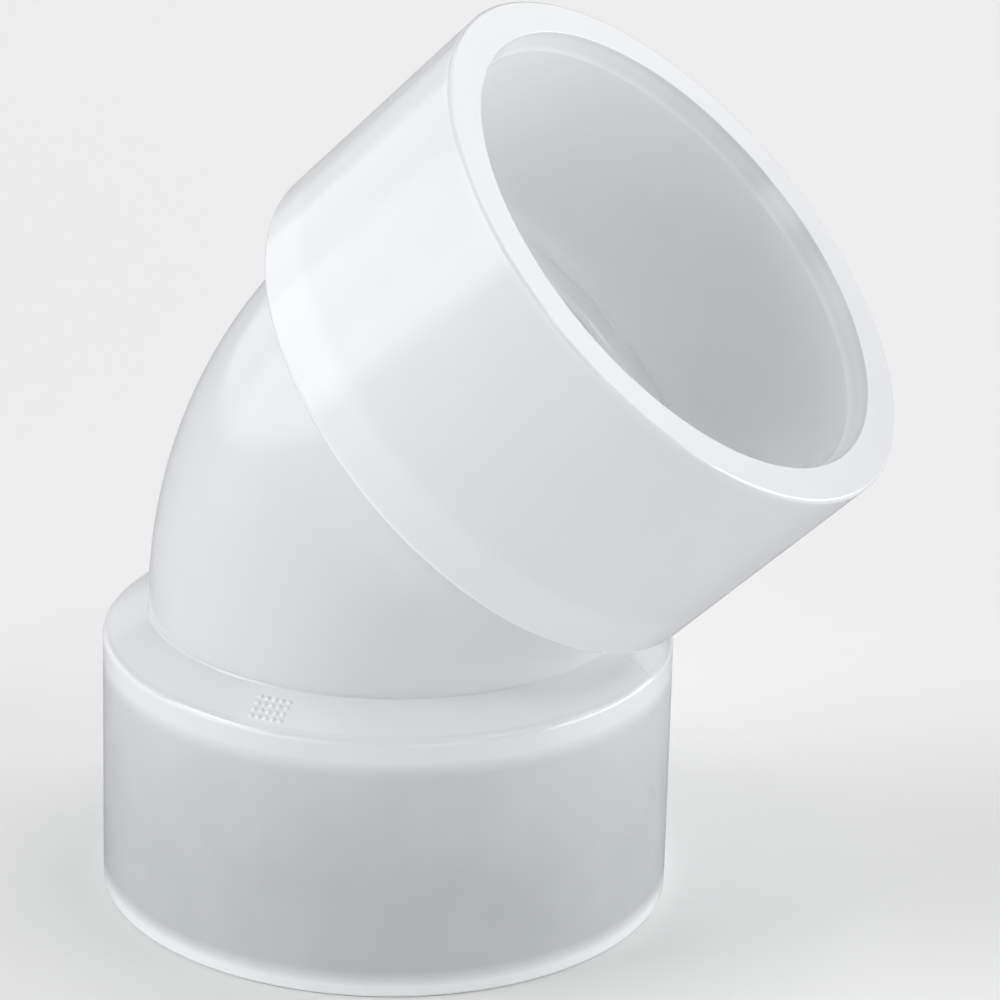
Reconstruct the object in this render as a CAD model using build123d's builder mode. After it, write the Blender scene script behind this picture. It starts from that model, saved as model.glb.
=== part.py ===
from build123d import *
from math import cos, hypot, radians, sin, tan
import os

# A 45 degree elbow for nominal 2 in PVC pipe, with a solvent-weld socket hub at each end of a short bend.
# The lower hub stands mouth down on Z = 0 about the Z axis, and the bend turns towards +X.
# The elbow is symmetric about the XZ plane, apart from the cavity mark. Dimensions are in millimetres.

# Bend
bend_angle = 45.0
bend_radius = 37.0
bend_diameter = 59.8
waterway_diameter = 51.6

# Hub outside: a slightly drafted barrel, with a sloping shoulder up to the bend
hub_diameter = 71.4
hub_height = 36.4
hub_draft = 0.25
shoulder_rise = 3.2
shoulder_round = 1.0
mouth_round = 0.5

# Socket: a lead-in at the mouth, a straight wall, then a flat stop for the end of the pipe
socket_diameter = 60.63
socket_depth = 29.5
lead_in_diameter = 62.0
lead_in_depth = 2.8
stop_corner_round = 0.4
waterway_round = 0.8

# Cavity mark: a patch of low domes on the lower hub's shoulder, on the -Y side
mark_rows = 4
mark_columns = 5
mark_pitch = 0.95
dome_diameter = 0.7
dome_height = 0.2

hub_radius = hub_diameter / 2
bend_outer_radius = bend_diameter / 2
waterway_radius = waterway_diameter / 2
socket_radius = socket_diameter / 2
lead_in_radius = lead_in_diameter / 2
shoulder_height = hub_height - shoulder_rise
shoulder_radius = hub_radius - shoulder_height * tan(radians(hub_draft))

# The upper hub's axis points out of its mouth, and its mouth centre follows from the bend.
turn = radians(bend_angle)
upper_axis = Vector(sin(turn), 0, cos(turn))
bend_end = Vector(bend_radius * (1 - cos(turn)), 0, hub_height + bend_radius * sin(turn))
upper_mouth = bend_end + upper_axis * hub_height

# In each section plane X is the distance from the hub's axis, and Y runs from the mouth to the bend.
lower_section = Plane(origin=(0, 0, 0), x_dir=(1, 0, 0), z_dir=(0, -1, 0))
upper_section = Plane(origin=upper_mouth, x_dir=(cos(turn), 0, -sin(turn)), z_dir=(0, 1, 0))


def hub_profile(section):
    """Half the hub's cross-section, from the mouth to the plane where the bend starts."""
    with BuildSketch(section) as profile:
        with BuildLine():
            Polyline(
                (lead_in_radius, 0),
                (hub_radius, 0),
                (shoulder_radius, shoulder_height),
                (bend_outer_radius, hub_height),
                (waterway_radius, hub_height),
                (waterway_radius, socket_depth),
                (socket_radius, socket_depth),
                (socket_radius, lead_in_depth),
                close=True,
            )
        make_face()
        for corner, radius in (
            ((hub_radius, 0), mouth_round),
            ((shoulder_radius, shoulder_height), shoulder_round),
            ((waterway_radius, socket_depth), waterway_round),
            ((socket_radius, socket_depth), stop_corner_round),
        ):
            fillet(profile.vertices().sort_by_distance(corner)[0], radius)
    return profile.sketch


def mark_centres(dome_radius):
    """Centres of the mark's domes, in rows up the shoulder's slope and columns around it."""
    slope = Vector(bend_outer_radius - shoulder_radius, hub_height - shoulder_height).normalized()
    outward = Vector(slope.Y, -slope.X)
    middle = Vector(bend_outer_radius + shoulder_radius, hub_height + shoulder_height) / 2
    centres = []
    for row in range(mark_rows):
        along = (row - (mark_rows - 1) / 2) * mark_pitch
        spot = middle + slope * along - outward * (dome_radius - dome_height)
        for column in range(mark_columns):
            angle = (column - (mark_columns - 1) / 2) * mark_pitch / spot.X
            centres.append((spot.X * sin(angle), -spot.X * cos(angle), spot.Y))
    return centres


with BuildPart() as lower_hub:
    revolve(hub_profile(lower_section), axis=Axis(lower_section.origin, (0, 0, 1)))
    dome_radius = (hypot(dome_height, dome_diameter / 2)) ** 2 / (2 * dome_height)
    with Locations(*mark_centres(dome_radius)):
        Sphere(dome_radius)

with BuildPart() as bend:
    with BuildSketch(Plane.XY.offset(hub_height)):
        Circle(bend_outer_radius)
        Circle(waterway_radius, mode=Mode.SUBTRACT)
    revolve(axis=Axis((bend_radius, 0, hub_height), (0, 1, 0)), revolution_arc=bend_angle)

with BuildPart() as upper_hub:
    revolve(hub_profile(upper_section), axis=Axis(upper_mouth, upper_axis))

lower_hub.part.label = "lower_hub"
bend.part.label = "bend"
upper_hub.part.label = "upper_hub"

os.makedirs("parts", exist_ok=True)
for piece in (lower_hub, bend, upper_hub):
    export_step(piece.part, f"parts/{piece.part.label}.step")
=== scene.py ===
from math import atan2, cos, pi, radians, sin, tan

import bpy
import numpy as np
from mathutils import Matrix, Vector


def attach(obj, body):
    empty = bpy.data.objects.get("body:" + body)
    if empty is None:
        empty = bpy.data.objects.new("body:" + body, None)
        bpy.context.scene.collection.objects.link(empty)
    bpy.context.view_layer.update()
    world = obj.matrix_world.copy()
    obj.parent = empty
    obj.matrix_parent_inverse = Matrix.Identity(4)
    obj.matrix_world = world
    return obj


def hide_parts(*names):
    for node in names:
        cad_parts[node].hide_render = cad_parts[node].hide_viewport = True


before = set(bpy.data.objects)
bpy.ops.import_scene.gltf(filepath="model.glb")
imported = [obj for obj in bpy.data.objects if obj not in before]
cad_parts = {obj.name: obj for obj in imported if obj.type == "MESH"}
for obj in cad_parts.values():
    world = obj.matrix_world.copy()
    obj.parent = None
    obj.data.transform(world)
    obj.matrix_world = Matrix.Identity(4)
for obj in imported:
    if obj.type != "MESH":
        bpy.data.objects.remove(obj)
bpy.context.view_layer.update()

MM = 0.001

# The elbow's own sizes, in millimetres. Across it they are radii, and along it they are distances up its
# centreline from the lower mouth.
HUB_HEIGHT = 36.4
BEND_RADIUS = 37.0
BEND_ANGLE = radians(45)
BEND_LENGTH = BEND_RADIUS * BEND_ANGLE
LENGTH = 2 * HUB_HEIGHT + BEND_LENGTH
HUB = 35.7
DRAFT = radians(0.25)
SHOULDER_RISE = 3.2
SHOULDER = HUB - (HUB_HEIGHT - SHOULDER_RISE) * tan(DRAFT)
BEND = 29.9
WATERWAY = 25.8
SOCKET = 30.315
SOCKET_DEPTH = 29.5
LEAD_IN = 31.0
LEAD_IN_DEPTH = 2.8

# Radii of the rounded edges
MOUTH_ROUND = 0.5
LEAD_IN_ROUND = 0.15
SOCKET_ROUND = 0.4
WATERWAY_ROUND = 0.8
SHOULDER_ROUND = 1.0
CREASE_ROUND = 0.4

# The pieces meet just past the creases, with a hair's gap between them
JOIN = HUB_HEIGHT + CREASE_ROUND * 0.6
GAP = 0.005

# A surface faces outward where its normal leans away from the centreline by more than this
OUTWARD = 0.3

# The mark: a patch of low domes on the lower shoulder, on the -Y side
MARK_ANGLE = 1.5 * pi
MARK_ROWS = 4
MARK_COLUMNS = 5
MARK_PITCH = 0.95
DOME_DIAMETER = 0.7
DOME_HEIGHT = 0.2

# The mould's parting line: its width to each side, and how far from a mouth it starts and takes to fade in
SEAM_HEIGHT = 0.03
SEAM_WIDTH = 0.15
SEAM_START = 0.5
SEAM_FADE = 2

# How finely the meshes are cut: points round the elbow, across the parting line, and across the mark and its
# margin, and the least angle between two of them, then the longest piece of the section, plain and on the
# lower shoulder, and the turn of one piece of an arc
SIDES = 240
SEAM_SIDES = 7
MARK_SIDES = 64
MARK_MARGIN = 0.3
LEAST_ANGLE = 0.0004
LONGEST = 1.0
LONGEST_AT_MARK = 0.08
ARC_STEP = radians(9)

# White PVC lets some light through, and the wall colours below carry the wall's thickness and, mostly,
# painted light and shade. Linear colours, the dark end tinted cool like shade, then how pale each wall is
# painted, which on the outside of a hub goes by the distance from its mouth.
THIN_WALL_AND_PAINTED_SHADE = (0.458, 0.485, 0.503, 1)
THICK_WALL_AND_PAINTED_LIGHT = (0.968, 0.985, 0.992, 1)
CLOUDED = (0.80, 0.81, 0.81, 1)
# The lower barrel: a painted glow along its mouth's bottom edge, painted shade up the barrel, whose mouth
# stands closed on the floor, and paler again at the thick band under the shoulder
LOWER_BARREL = ((0, 0.76), (1.6, 0.74), (3.0, 0.09), (14, 0.09), (29, 0.24), (30.6, 0.58))
# The upper barrel is painted paler than the bend, as painted light let in through its open mouth
UPPER_BARREL = ((0, 0.6), (1.5, 0.53), (25.6, 0.56), (27.4, 0.64))
SHOULDER_SLOPE = 0.65
BEND_WALL = 0.46
# The lead-in and the socket's inside are painted pale, as painted light inside the sockets
LEAD_IN_WALL = 0.8
INSIDE = 1.0

# ---------------------------------------------------------------- meshes


def centreline(s):
    """The point at s up the centreline, the way it runs there, and the way across it in the XZ plane."""
    turn = min(max((s - HUB_HEIGHT) / BEND_RADIUS, 0), BEND_ANGLE)
    along = np.array([sin(turn), 0, cos(turn)])
    across = np.array([cos(turn), 0, -sin(turn)])
    start = np.array([BEND_RADIUS * (1 - cos(turn)), 0, HUB_HEIGHT + BEND_RADIUS * sin(turn)])
    past = s - HUB_HEIGHT - BEND_RADIUS * turn
    return start + along * past, along, across


def rounded(corners):
    """A closed section from corners (s, r, radius): its points, and each side's normals at both ends."""
    points, normals = [], []
    n = len(corners)
    for i, (s, r, radius) in enumerate(corners):
        here = np.array([s, r])
        before = here - np.array(corners[i - 1][:2])
        after = np.array(corners[(i + 1) % n][:2]) - here
        before /= np.linalg.norm(before)
        after /= np.linalg.norm(after)
        turn = atan2(before[0] * after[1] - before[1] * after[0], before @ after)
        if radius:
            reach = radius * tan(abs(turn) / 2)
            side = np.array([before[1], -before[0]]) * np.sign(turn)
            centre = here - before * reach - side * radius
            steps = max(3, round(abs(turn) / ARC_STEP))
            for k in range(steps + 1):
                a = turn * k / steps
                out = side * cos(a) + np.array([-side[1], side[0]]) * sin(a)
                points.append(centre + out * radius)
                normals.append(out * np.sign(turn))
        else:
            points.append(here)
            normals.append(None)
    sides = []
    for i, point in enumerate(points):
        ahead = points[(i + 1) % len(points)] - point
        flat = np.array([ahead[1], -ahead[0]]) / np.linalg.norm(ahead)
        ends = normals[i], normals[(i + 1) % len(points)]
        sides.append([flat if end is None else end for end in ends])
    return np.array(points), sides


def divided(points, sides, longest):
    """The same section with each side cut to pieces no longer than longest(s, r) there."""
    new_points, new_sides = [], []
    for i, point in enumerate(points):
        end = points[(i + 1) % len(points)]
        length = np.linalg.norm(end - point)
        parts = max(1, int(np.ceil(length / longest(*(point + end) / 2))))
        for k in range(parts):
            new_points.append(point + (end - point) * k / parts)
            first, last = sides[i]
            new_sides.append([first + (last - first) * t for t in (k / parts, (k + 1) / parts)])
    return np.array(new_points), new_sides


def dome_centres():
    """The mark's domes, as distances across and up the middle of the lower shoulder's slope."""
    for row in range(MARK_ROWS):
        for column in range(MARK_COLUMNS):
            yield (column - (MARK_COLUMNS - 1) / 2) * MARK_PITCH, (row - (MARK_ROWS - 1) / 2) * MARK_PITCH


def mark_height(s, r, angles):
    """How far the mark's domes stand up from the lower shoulder at (s, r)."""
    slope = np.array([SHOULDER_RISE, BEND - SHOULDER])
    middle = np.array([HUB_HEIGHT - SHOULDER_RISE / 2, (BEND + SHOULDER) / 2])
    up = (np.array([s, r]) - middle) @ slope / np.linalg.norm(slope)
    across = (angles - MARK_ANGLE) * r
    ball = (DOME_HEIGHT**2 + DOME_DIAMETER**2 / 4) / (2 * DOME_HEIGHT)
    height = np.zeros(len(angles))
    for x, y in dome_centres():
        far = (across - x) ** 2 + (up - y) ** 2
        height = np.maximum(height, np.sqrt(np.maximum(ball**2 - far, 0)) - ball + DOME_HEIGHT)
    return height


def seam_height(s, r, angles):
    """The mould's parting line, a fine ridge in the XZ plane on the outside, which dies out at the mouths."""
    across = np.abs(np.sin(angles)) * r
    fade = np.clip((min(s, LENGTH - s) - SEAM_START) / SEAM_FADE, 0, 1)
    return fade * SEAM_HEIGHT * np.clip(1 - (across / SEAM_WIDTH) ** 2, 0, 1)


def thickness_and_painted_light(s, r, out):
    """How pale the wall is painted at (s, r), partly for its thickness and mostly as painted light and shade,
    where out is its normal.
    """
    depth = min(s, LENGTH - s)
    if r < LEAD_IN - LEAD_IN_ROUND and out[1] < OUTWARD:
        return LEAD_IN_WALL if depth < LEAD_IN_DEPTH - SOCKET_ROUND / 2 else INSIDE
    if depth > HUB_HEIGHT:
        return BEND_WALL
    if depth > HUB_HEIGHT - SHOULDER_RISE + SHOULDER_ROUND / 2:
        return SHOULDER_SLOPE
    depths, shares = zip(*(LOWER_BARREL if s < LENGTH / 2 else UPPER_BARREL))
    return np.interp(depth, depths, shares)


def face_corners(rows, columns):
    """The row and column of each face's four corners, where the last row and column meet the first."""
    i, j = np.meshgrid(np.arange(rows), np.arange(columns), indexing="ij")
    i2, j2 = (i + 1) % rows, (j + 1) % columns
    return (i, j), (i2, j), (i2, j2), (i, j2)


def set_normals(mesh, corners, sides, axial, radial, raised):
    """Exact normals from the section's sides, except on faces that the mark or the parting line lifts."""
    normals = np.zeros(len(mesh.loops) * 3)
    mesh.corner_normals.foreach_get("vector", normals)
    normals = normals.reshape(*raised.shape, 4, 3)
    lifted = np.any([raised[corner] for corner in corners], axis=0)
    side = corners[0][0]
    first, last = np.array(sides).transpose(1, 0, 2)
    for index, normal in enumerate((first, last, last, first)):
        row, column = corners[index]
        exact = normal[side][..., :1] * axial[row] + normal[side][..., 1:] * radial[row, column]
        normals[:, :, index] = np.where(lifted[..., None], normals[:, :, index], exact)
    mesh.normals_split_custom_set(normals.reshape(-1, 3).tolist())


def swept(name, points, sides, angles, marked=False):
    """A closed ring of the section, swept round the centreline."""
    rows, columns = len(points), len(angles)
    co = np.zeros((rows, columns, 3))
    radial = np.zeros((rows, columns, 3))
    axial = np.zeros((rows, 3))
    raised = np.zeros((rows, columns), bool)
    tones_and_painted_light = np.zeros((rows, columns), np.float32)
    for i, (s, r) in enumerate(points):
        middle, along, across = centreline(s)
        radial[i] = np.outer(np.cos(angles), across) + np.outer(np.sin(angles), [0, 1, 0])
        axial[i] = along
        co[i] = middle + radial[i] * r
        out = (sides[i - 1][1] + sides[i][0]) / 2
        # Each ring's tone: partly the wall's thickness, mostly painted light and shade
        tones_and_painted_light[i] = thickness_and_painted_light(s, r, out)
        if out[1] > OUTWARD:
            height = seam_height(s, r, angles)
            on_shoulder = HUB_HEIGHT - SHOULDER_RISE < s < HUB_HEIGHT
            if marked and on_shoulder and np.allclose(sides[i - 1][1], sides[i][0]):
                height = height + mark_height(s, r, angles)
            raised[i] = height > 0
            co[i] += height[:, None] * (out[0] * along + out[1] * radial[i])
    corners = face_corners(rows, columns)
    quads = np.stack([row * columns + column for row, column in corners], -1).reshape(-1, 4)
    mesh = bpy.data.meshes.new(name)
    mesh.from_pydata((co.reshape(-1, 3) * MM).tolist(), [], quads.tolist())
    mesh.shade_smooth()
    mesh.update()
    set_normals(mesh, corners, sides, axial, radial, raised)
    mesh.attributes.new("thickness_and_painted_light", "FLOAT", "POINT").data.foreach_set("value", tones_and_painted_light.ravel())
    piece = bpy.data.objects.new(name, mesh)
    bpy.context.scene.collection.objects.link(piece)
    return piece


def hub_section(upper):
    """The hub's wall in section, counter-clockwise in (s, r)."""
    corners = [
        (0, LEAD_IN, LEAD_IN_ROUND),
        (LEAD_IN_DEPTH, SOCKET, SOCKET_ROUND),
        (SOCKET_DEPTH, SOCKET, SOCKET_ROUND),
        (SOCKET_DEPTH, WATERWAY, WATERWAY_ROUND),
        (JOIN, WATERWAY, 0),
        (JOIN, BEND, 0),
        (HUB_HEIGHT, BEND, CREASE_ROUND),
        (HUB_HEIGHT - SHOULDER_RISE, SHOULDER, SHOULDER_ROUND),
        (0, HUB, MOUTH_ROUND),
    ]
    if upper:
        corners = [(LENGTH - s, r, radius) for s, r, radius in reversed(corners)]
    return rounded(corners)


def bend_section():
    """The bend's wall in section, between the two hubs."""
    start = JOIN + GAP
    end = LENGTH - start
    return rounded([(start, WATERWAY, 0), (end, WATERWAY, 0), (end, BEND, 0), (start, BEND, 0)])


def ring_angles(marked):
    """Angles round the centreline: even ones, with closer ones at the parting line and at the mark."""
    even = np.linspace(0, 2 * pi, SIDES, endpoint=False)
    seam = np.linspace(-1, 1, SEAM_SIDES) * SEAM_WIDTH / BEND
    angles = [even, seam % (2 * pi), seam + pi]
    if marked:
        wide = (MARK_COLUMNS * MARK_PITCH + MARK_MARGIN) / 2 / BEND
        angles.append(MARK_ANGLE + np.linspace(-wide, wide, MARK_SIDES))
    angles = np.unique(np.round(np.concatenate(angles), 7))
    apart = np.append(np.diff(angles) > LEAST_ANGLE, True)
    return angles[apart]


def longest_side(s, r):
    """Sides are short where the mark stands on the lower shoulder, and moderate elsewhere."""
    on_shoulder = r > BEND and HUB_HEIGHT - SHOULDER_RISE < s < HUB_HEIGHT
    return LONGEST_AT_MARK if on_shoulder else LONGEST


lower_wall = divided(*hub_section(upper=False), longest_side)
bend_wall = divided(*bend_section(), longest_side)
upper_wall = divided(*hub_section(upper=True), longest_side)
lower_hub = swept("visual_lower_hub", *lower_wall, ring_angles(marked=True), marked=True)
bend = swept("visual_bend", *bend_wall, ring_angles(marked=False))
upper_hub = swept("visual_upper_hub", *upper_wall, ring_angles(marked=False))

# ---------------------------------------------------------------- material

# The moulded surface's features, in millimetres: their sizes, and how far the bumps stand up
CLOUD_SIZE = 9.0
PATCH_SIZE = 5.0
GRAIN_SIZE = 0.35
GRAIN_HEIGHT = 0.008
RIPPLE_SIZE = 7.0
RIPPLE_HEIGHT = 0.04


def node(tree, kind, inputs=None, **settings):
    """A new node with its settings, and its inputs set to values or linked to sockets."""
    made = tree.nodes.new(kind)
    for name, value in settings.items():
        setattr(made, name, value)
    for name, value in (inputs or {}).items():
        if isinstance(value, bpy.types.NodeSocket):
            tree.links.new(value, made.inputs[name])
        else:
            made.inputs[name].default_value = value
    return made


def noise(tree, place, size, detail=2.0):
    """Smooth noise, mostly from 0.3 to 0.7, with features of about size millimetres."""
    inputs = {"Vector": place, "Scale": 1 / size, "Detail": detail}
    return node(tree, "ShaderNodeTexNoise", inputs).outputs["Fac"]


def ranged(tree, value, low, high, to_low, to_high, **settings):
    """value from low..high to to_low..to_high."""
    inputs = {"Value": value, "From Min": low, "From Max": high, "To Min": to_low, "To Max": to_high}
    return node(tree, "ShaderNodeMapRange", inputs, **settings).outputs["Result"]


def varied(tree, pattern, low, high):
    """A number that varies from low to high with a pattern of noise."""
    return ranged(tree, pattern, 0.3, 0.7, low, high)


def combined(tree, operation, first, second):
    """Two numbers put together by a Math node."""
    return node(tree, "ShaderNodeMath", {0: first, 1: second}, operation=operation).outputs[0]


def share_along(tree, vector, axis):
    """The share of a vector that lies along an axis."""
    inputs = {0: vector, 1: axis}
    return node(tree, "ShaderNodeVectorMath", inputs, operation="DOT_PRODUCT").outputs["Value"]


def mixed(tree, share, first, second):
    """The colour between first and second at share."""
    mix = node(tree, "ShaderNodeMix", data_type="RGBA")
    for index, value in ((0, share), (6, first), (7, second)):
        if isinstance(value, bpy.types.NodeSocket):
            tree.links.new(value, mix.inputs[index])
        else:
            mix.inputs[index].default_value = value
    return mix.outputs[2]


def moulded_pvc():
    """White rigid PVC as it leaves the mould: semi-gloss and faintly rippled, its colour paler where the wall
    is thick and carrying painted light and shade along each wall.
    """
    material = bpy.data.materials.new("moulded_pvc")
    material.use_nodes = True
    tree = material.node_tree
    shader = tree.nodes["Principled BSDF"]
    shader.subsurface_method = "RANDOM_WALK"
    shader.inputs["Subsurface Weight"].default_value = 0.35
    shader.inputs["Subsurface Radius"].default_value = (1.0, 1.0, 1.0)
    shader.inputs["Subsurface Scale"].default_value = 0.3 * MM
    shader.inputs["IOR"].default_value = 1.53
    metres = node(tree, "ShaderNodeTexCoord").outputs["Object"]
    place = node(tree, "ShaderNodeVectorMath", {0: metres, "Scale": 1 / MM}, operation="SCALE").outputs[0]
    # The wall's colour, between the thin and thick ends, carries painted light and shade as well as the
    # wall's thickness
    thickness_and_painted_light = node(tree, "ShaderNodeAttribute", attribute_name="thickness_and_painted_light").outputs["Fac"]
    wall = mixed(tree, thickness_and_painted_light, THIN_WALL_AND_PAINTED_SHADE, THICK_WALL_AND_PAINTED_LIGHT)
    cloud = varied(tree, noise(tree, place, CLOUD_SIZE), 0.0, 0.12)
    colour = mixed(tree, cloud, wall, CLOUDED)
    tree.links.new(colour, shader.inputs["Base Color"])
    grain = noise(tree, place, GRAIN_SIZE, detail=3.0)
    patches = noise(tree, place, PATCH_SIZE)
    ripple = noise(tree, place, RIPPLE_SIZE, detail=1.0)
    roughness = combined(tree, "ADD", varied(tree, grain, -0.02, 0.03), varied(tree, patches, 0.12, 0.16))
    tree.links.new(roughness, shader.inputs["Roughness"])
    grain_bump = {"Height": grain, "Strength": 0.25, "Distance": GRAIN_HEIGHT * MM}
    grained = node(tree, "ShaderNodeBump", grain_bump).outputs["Normal"]
    ripple_bump = {"Height": ripple, "Strength": 0.3, "Distance": RIPPLE_HEIGHT * MM, "Normal": grained}
    rippled = node(tree, "ShaderNodeBump", ripple_bump).outputs["Normal"]
    tree.links.new(rippled, shader.inputs["Normal"])
    return material


pvc = moulded_pvc()
for piece, cad_node in ((lower_hub, "lower_hub"), (bend, "bend"), (upper_hub, "upper_hub")):
    piece.data.materials.append(pvc)
    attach(piece, "root")
    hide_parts(cad_node)

# ---------------------------------------------------------------- set

# Softboxes: azimuth, elevation, width and height in degrees, and radiance. The last three are small and
# bright.
SOFTBOXES = (
    (45, 9, 30, 18, 2.8),
    (105, 9, 30, 18, 5.8),
    (135, 9, 30, 18, 5.0),
    (225, 9, 30, 18, 0.6),
    (255, 9, 30, 18, 1.3),
    (285, 9, 30, 18, 2.1),
    (315, 9, 30, 18, 2.7),
    (345, 9, 30, 18, 3.1),
    (162, 30, 36, 24, 1.2),
    (306, 30, 36, 24, 3.1),
    (180, 72, 60, 56, 1.4),
    (304, 42, 30, 4, 12.5),
    (78, 48, 30, 4, 11.0),
    (124, 38, 10, 6, 10.5),
)

# How far a softbox's edge fades, as a share of its half width, the light between the boxes, and the colour
# that the camera sees past the floor
SOFT_EDGE = 0.2
ROOM_LIGHT = 0.02
WALL_COLOUR = (0.8, 0.8, 0.8, 1)

# The floor, in metres. Gloss reflects it as if it were grey, as a dark studio round a pale sheet would,
# which outlines the elbow.
FLOOR_WIDTH = 6
FLOOR_COLOUR = (0.88, 0.88, 0.88, 1)
MIRRORED_FLOOR_COLOUR = (0.42, 0.42, 0.42, 1)
FLOOR_ROUGHNESS = 0.9

# The camera, in degrees and millimetres
AZIMUTH = 23.2246
ELEVATION = 20.6819
ROLL = 1.6098
TARGET = (14.6188, 0, 52.7175)
DISTANCE = 490.285
LENS = 144.9153
SENSOR = 36

bpy.ops.mesh.primitive_plane_add(size=FLOOR_WIDTH)
floor = bpy.context.object
floor.name = "floor"
paper = bpy.data.materials.new("floor_paper")
paper.use_nodes = True
paper_shader = paper.node_tree.nodes["Principled BSDF"]
mirrored = node(paper.node_tree, "ShaderNodeLightPath").outputs["Is Glossy Ray"]
shade = mixed(paper.node_tree, mirrored, FLOOR_COLOUR, MIRRORED_FLOOR_COLOUR)
paper.node_tree.links.new(shade, paper_shader.inputs["Base Color"])
paper_shader.inputs["Roughness"].default_value = FLOOR_ROUGHNESS
floor.data.materials.append(paper)


def softbox(tree, direction, azimuth, elevation, width, height, radiance):
    """The light from a far rectangular softbox with soft edges, all angles in degrees."""
    azimuth, elevation = radians(azimuth), radians(elevation)
    centre = Vector((sin(azimuth) * cos(elevation), -cos(azimuth) * cos(elevation), sin(elevation)))
    right = Vector((cos(azimuth), sin(azimuth), 0))
    along = share_along(tree, direction, centre)
    light = combined(tree, "GREATER_THAN", along, 0.0)
    for axis, angle in ((right, width), (centre.cross(right), height)):
        ratio = combined(tree, "DIVIDE", share_along(tree, direction, axis), along)
        off_centre = node(tree, "ShaderNodeMath", {0: ratio}, operation="ABSOLUTE").outputs[0]
        half = tan(radians(angle / 2))
        edges = half * (1 - SOFT_EDGE), half * (1 + SOFT_EDGE)
        window = ranged(tree, off_centre, *edges, 1.0, 0.0, interpolation_type="SMOOTHSTEP")
        light = combined(tree, "MULTIPLY", light, window)
    return combined(tree, "MULTIPLY", light, radiance)


def studio():
    """Softboxes to the left, the right and above, with weak ones between, in a room that looks pale."""
    world = bpy.data.worlds.new("studio")
    bpy.context.scene.world = world
    world.use_nodes = True
    tree = world.node_tree
    direction = node(tree, "ShaderNodeTexCoord").outputs["Generated"]
    light = ROOM_LIGHT
    for box in SOFTBOXES:
        light = combined(tree, "ADD", light, softbox(tree, direction, *box))
    seen = node(tree, "ShaderNodeLightPath").outputs["Is Camera Ray"]
    pale = mixed(tree, seen, light, WALL_COLOUR)
    tree.links.new(pale, tree.nodes["Background"].inputs["Color"])


studio()


def camera():
    """The scene's camera, turned a little about its own axis."""
    azimuth, elevation, roll = radians(AZIMUTH), radians(ELEVATION), radians(ROLL)
    back = Vector((sin(azimuth) * cos(elevation), -cos(azimuth) * cos(elevation), sin(elevation)))
    right = Vector((cos(azimuth), sin(azimuth), 0))
    up = back.cross(right)
    right, up = right * cos(roll) + up * sin(roll), up * cos(roll) - right * sin(roll)
    data = bpy.data.cameras.new("camera")
    data.sensor_width = SENSOR
    data.lens = LENS
    data.clip_start, data.clip_end = 0.01, 20
    cam = bpy.data.objects.new("camera", data)
    place = (Vector(TARGET) + back * DISTANCE) * MM
    cam.matrix_world = Matrix.Translation(place) @ Matrix((right, up, back)).transposed().to_4x4()
    bpy.context.scene.collection.objects.link(cam)
    bpy.context.scene.camera = cam


camera()
bpy.context.scene.view_settings.view_transform = "Standard"
